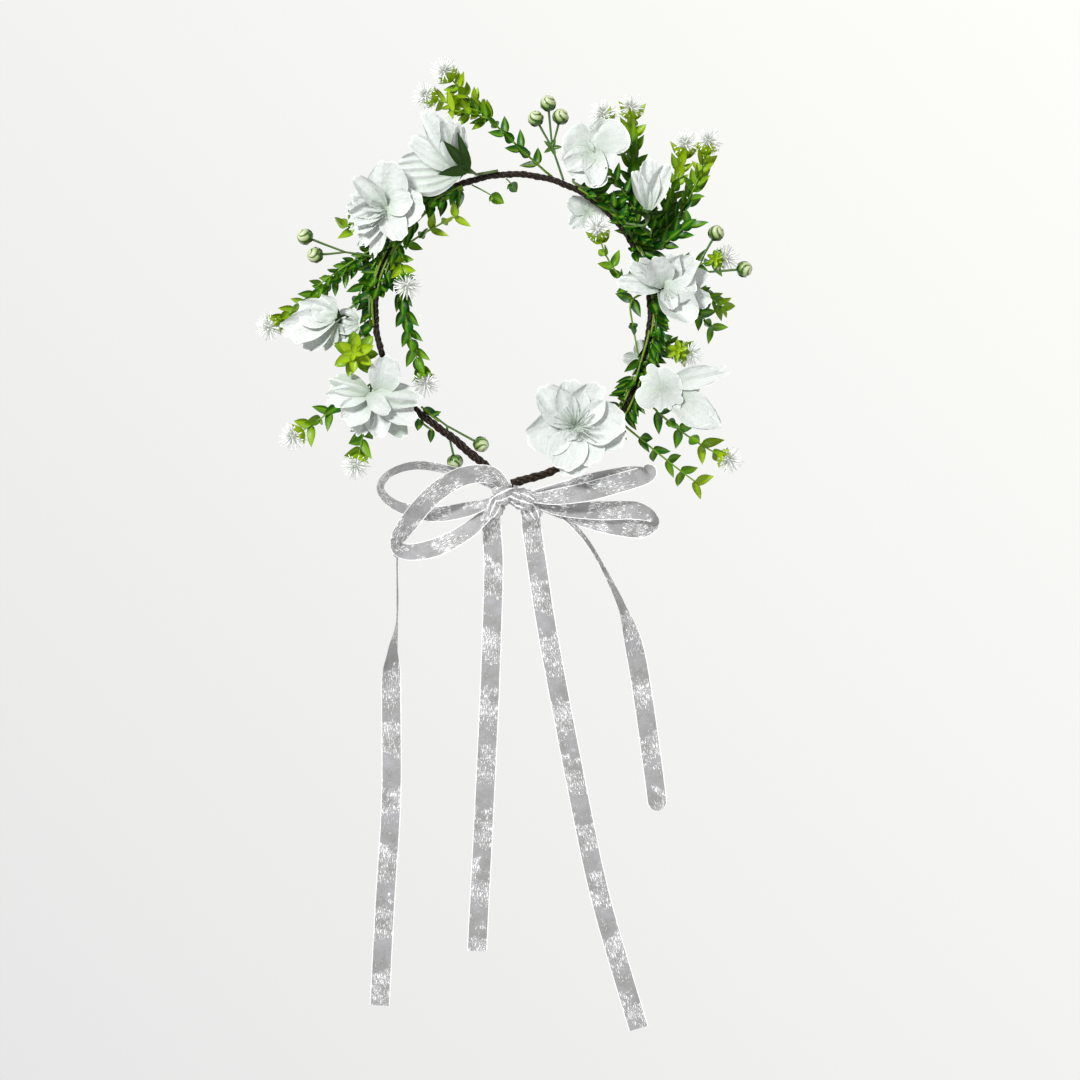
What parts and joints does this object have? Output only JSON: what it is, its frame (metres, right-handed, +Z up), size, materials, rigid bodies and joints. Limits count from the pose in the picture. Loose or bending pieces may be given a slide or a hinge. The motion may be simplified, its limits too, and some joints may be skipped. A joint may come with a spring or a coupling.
{
  "type": "flower crown",
  "caption": "Hair crown: a taped wire hoop dressed with fabric blossoms, leaf sprays, bristle puffs and buds, closed by a ribbon bow with long tails.",
  "frame": {"origin": "on the table under the middle of the hoop, which is the middle of the head opening", "axes": "+Z up from the table the crown lies on, +Y from the bow to the top of the hoop, +X to the right seen from above"},
  "size_m": [0.299, 0.589, 0.0583],
  "materials": {
    "wire_steel": "plain steel stem wire",
    "floral_tape": "dark brown waxed crepe tape, wound in a spiral",
    "petal_fabric": "white pressed polyester, slightly translucent",
    "calyx_plastic": "dark green moulded plastic",
    "leaf_plastic": "moulded leaves, dark green fading to lime at the tips",
    "puff_bristle": "stiff white bristles",
    "bud_plastic": "glossy green buds with cream swirls",
    "ribbon_organza": "silver-grey sheer organza with metallic thread"
  },
  "bodies": {
    "crown": {"blossom_left_calyx": "calyx_plastic", "blossom_left_low_calyx": "calyx_plastic", "blossom_left_low_petals": "petal_fabric", "blossom_left_petals": "petal_fabric", "blossom_right_calyx": "calyx_plastic", "blossom_right_low_calyx": "calyx_plastic", "blossom_right_low_petals": "petal_fabric", "blossom_right_petals": "petal_fabric", "blossom_right_top_calyx": "calyx_plastic", "blossom_right_top_petals": "petal_fabric", "blossom_top_left_calyx": "calyx_plastic", "blossom_top_left_petals": "petal_fabric", "blossom_top_right_calyx": "calyx_plastic", "blossom_top_right_petals": "petal_fabric", "blossom_under_right_petals": "petal_fabric", "blossom_under_top_petals": "petal_fabric", "blossom_upper_left_calyx": "calyx_plastic", "blossom_upper_left_petals": "petal_fabric", "bow_knot": "ribbon_organza", "bow_loop_left_lower": "ribbon_organza", "bow_loop_left_upper": "ribbon_organza", "bow_loop_right_lower": "ribbon_organza", "bow_loop_right_upper": "ribbon_organza", "buds_low_left": "bud_plastic", "buds_right": "bud_plastic", "hoop_tape": "floral_tape", "hoop_wire": "wire_steel", "puff_inner_left_1": "puff_bristle", "puff_inner_left_2": "puff_bristle", "puff_inner_right": "puff_bristle", "puff_left": "puff_bristle", "puff_low_left_1": "puff_bristle", "puff_low_left_2": "puff_bristle", "puff_low_right": "puff_bristle", "puff_right": "puff_bristle", "puff_right_low": "puff_bristle", "puff_right_top_1": "puff_bristle", "puff_right_top_2": "puff_bristle", "puff_top_right_1": "puff_bristle", "puff_top_right_2": "puff_bristle", "spray_inner_left": "leaf_plastic", "spray_inner_right": "leaf_plastic", "spray_left": "leaf_plastic", "spray_low_left": "leaf_plastic", "spray_low_right": "leaf_plastic", "spray_right": "leaf_plastic", "spray_right_low": "leaf_plastic", "spray_right_top": "leaf_plastic", "spray_top_right": "leaf_plastic"},
    "tail_far_left_body": {"tail_far_left": "ribbon_organza"},
    "tail_left_body": {"tail_left": "ribbon_organza"},
    "tail_right_body": {"tail_right": "ribbon_organza"},
    "tail_far_right_body": {"tail_far_right": "ribbon_organza"},
    "spray_top_left_body": {"spray_top_left": "leaf_plastic", "puff_top_left_1": "puff_bristle", "puff_top_left_2": "puff_bristle"},
    "buds_top_body": {"buds_top": "bud_plastic"},
    "buds_left_body": {"buds_left": "bud_plastic"},
    "blossom_bottom_right_body": {"blossom_bottom_right_petals": "petal_fabric", "blossom_bottom_right_calyx": "calyx_plastic"}
  },
  "joints": [
    {"name": "tail_far_left_swing", "type": "hinge", "parent": "crown", "child": "tail_far_left_body", "pos_m": [-0.07, -0.149, 0.00501], "axis": [0, 0, 1], "range_deg": [-15, 4]},
    {"name": "tail_left_swing", "type": "hinge", "parent": "crown", "child": "tail_left_body", "pos_m": [-0.014, -0.118, 0.0003], "axis": [0, 0, 1], "range_deg": [-4, 5]},
    {"name": "tail_right_swing", "type": "hinge", "parent": "crown", "child": "tail_right_body", "pos_m": [0.008, -0.118, 0.0003], "axis": [0, 0, 1], "range_deg": [-5, 4]},
    {"name": "tail_far_right_swing", "type": "hinge", "parent": "crown", "child": "tail_far_right_body", "pos_m": [0.02, -0.114, 0.0003], "axis": [0, 0, 1], "range_deg": [-4, 5]},
    {"name": "spray_top_left_bend", "type": "hinge", "parent": "crown", "child": "spray_top_left_body", "pos_m": [0.01945, 0.08422, 0.01431], "axis": [0.7087, 0.7055, 0], "range_deg": [0, 35]},
    {"name": "buds_top_bend", "type": "hinge", "parent": "crown", "child": "buds_top_body", "pos_m": [0.03098, 0.0807, 0.01431], "axis": [0.9745, 0.2245, 0], "range_deg": [0, 30]},
    {"name": "buds_left_bend", "type": "hinge", "parent": "crown", "child": "buds_left_body", "pos_m": [-0.08014, 0.03238, 0.0157], "axis": [0.1599, 0.9871, 0], "range_deg": [0, 25]},
    {"name": "blossom_bottom_right_bend", "type": "hinge", "parent": "crown", "child": "blossom_bottom_right_body", "pos_m": [0.04701, -0.08131, 0.01898], "axis": [-0.801, -0.5986, 0], "range_deg": [-12, 12]}
  ]
}
